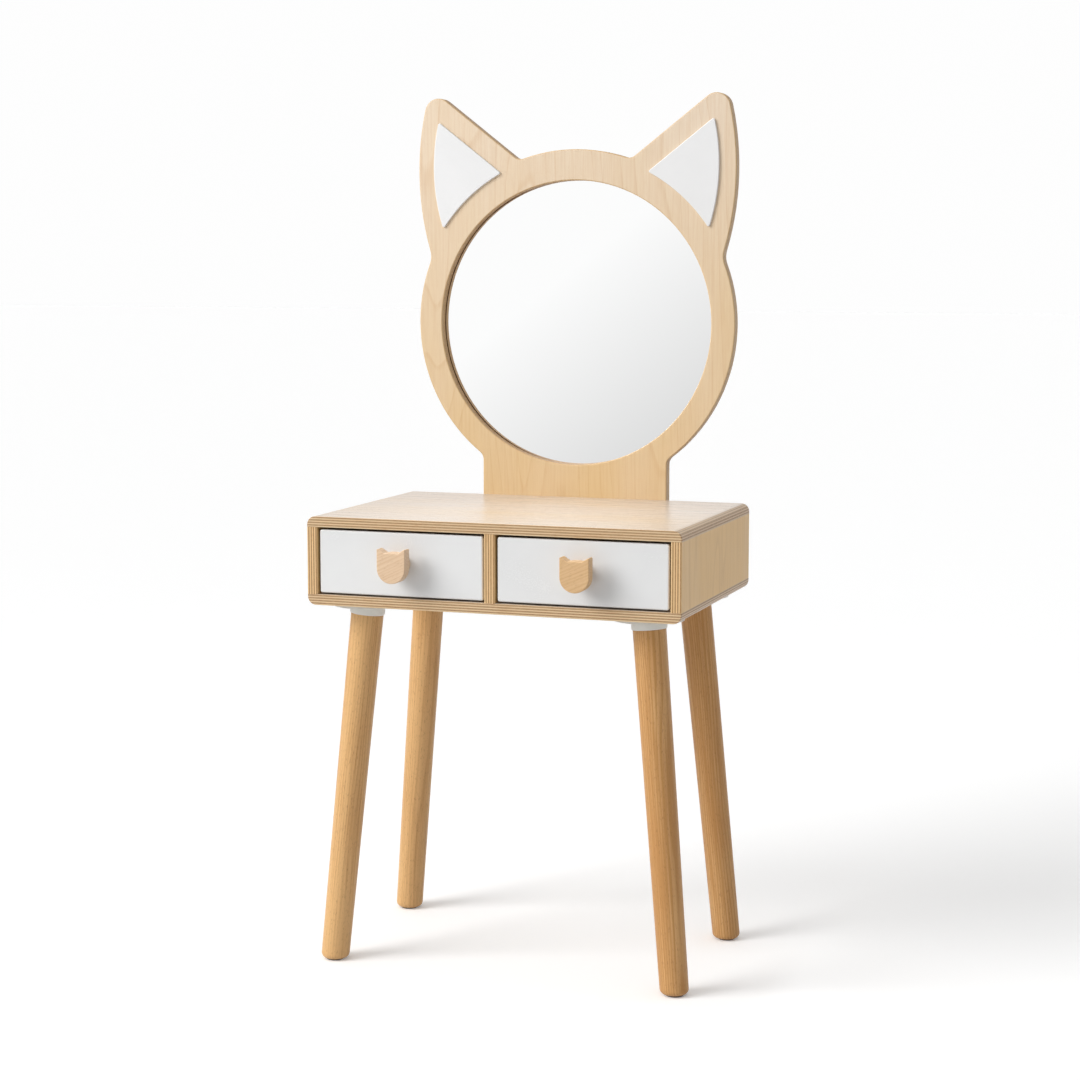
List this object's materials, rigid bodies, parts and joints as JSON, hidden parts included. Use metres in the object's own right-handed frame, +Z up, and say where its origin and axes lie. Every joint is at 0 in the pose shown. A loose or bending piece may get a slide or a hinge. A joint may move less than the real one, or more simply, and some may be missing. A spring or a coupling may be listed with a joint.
{
  "type": "dressing table",
  "caption": "Child's dressing table: birch plywood case with painted drawers and cat-head knobs, splayed beech legs and a round mirror in a board with cat ears.",
  "frame": {"origin": "on the floor, at the middle of the whole object seen from above", "axes": "+X to the right seen from the front, +Y to the back, +Z up"},
  "size_m": [0.4536, 0.3464, 1.0274],
  "materials": {
    "birch_ply_case": "clear satin lacquer on birch plywood, plies showing on the edges",
    "birch_ply_board": "clear satin lacquer on birch plywood, plies showing on the edges",
    "thin_birch_ply": "thin birch plywood, lightly sealed",
    "beech_legs": "turned beech, clear satin lacquer",
    "beech_knobs": "shaped beech, clear satin lacquer",
    "drawer_box_wood": "planed birch, lightly sealed",
    "beech_small_parts": "plain beech",
    "white_drawer_paint": "white satin lacquer on fibreboard",
    "white_inlay_paint": "white satin lacquer on fibreboard",
    "white_plate_plastic": "moulded white plastic",
    "dark_pad_rubber": "dark self-adhesive pad",
    "mirror_silver": "silvered float glass",
    "brown_hardboard": "brown hardboard",
    "zinc_steel": "bright zinc-plated steel"
  },
  "bodies": {
    "table": {"back_cover_screws": "zinc_steel", "back_left_foot_pad": "dark_pad_rubber", "back_left_leg": "beech_legs", "back_left_leg_plate": "white_plate_plastic", "back_right_foot_pad": "dark_pad_rubber", "back_right_leg": "beech_legs", "back_right_leg_plate": "white_plate_plastic", "bottom_panel": "birch_ply_case", "case_back_panel": "thin_birch_ply", "case_dowels": "beech_small_parts", "centre_divider": "birch_ply_case", "drawer_stop_screws": "zinc_steel", "front_left_foot_pad": "dark_pad_rubber", "front_left_leg": "beech_legs", "front_left_leg_plate": "white_plate_plastic", "front_right_foot_pad": "dark_pad_rubber", "front_right_leg": "beech_legs", "front_right_leg_plate": "white_plate_plastic", "left_drawer_stop": "beech_small_parts", "left_ear_inlay": "white_inlay_paint", "left_side_panel": "birch_ply_case", "leg_hanger_bolts": "zinc_steel", "leg_plate_inserts": "zinc_steel", "leg_plate_screws": "zinc_steel", "mirror_back_cover": "brown_hardboard", "mirror_board_screws": "zinc_steel", "mirror_board_washers": "zinc_steel", "mirror_frame": "birch_ply_board", "mirror_glass": "mirror_silver", "right_drawer_stop": "beech_small_parts", "right_ear_inlay": "white_inlay_paint", "right_side_panel": "birch_ply_case", "top_panel": "birch_ply_case"},
    "left_drawer": {"left_drawer_back": "drawer_box_wood", "left_drawer_dowels": "beech_small_parts", "left_drawer_floor": "thin_birch_ply", "left_drawer_front": "white_drawer_paint", "left_drawer_knob": "beech_knobs", "left_drawer_knob_screw": "zinc_steel", "left_drawer_knob_stem": "beech_knobs", "left_drawer_left_side": "drawer_box_wood", "left_drawer_right_side": "drawer_box_wood", "left_drawer_screws": "zinc_steel"},
    "right_drawer": {"right_drawer_back": "drawer_box_wood", "right_drawer_dowels": "beech_small_parts", "right_drawer_floor": "thin_birch_ply", "right_drawer_front": "white_drawer_paint", "right_drawer_knob": "beech_knobs", "right_drawer_knob_screw": "zinc_steel", "right_drawer_knob_stem": "beech_knobs", "right_drawer_left_side": "drawer_box_wood", "right_drawer_right_side": "drawer_box_wood", "right_drawer_screws": "zinc_steel"}
  },
  "joints": [
    {"name": "left_drawer_slide", "type": "slide", "parent": "table", "child": "left_drawer", "axis": [0, -1, 0], "range_m": [0, 0.19]},
    {"name": "right_drawer_slide", "type": "slide", "parent": "table", "child": "right_drawer", "axis": [0, -1, 0], "range_m": [0, 0.19]}
  ]
}
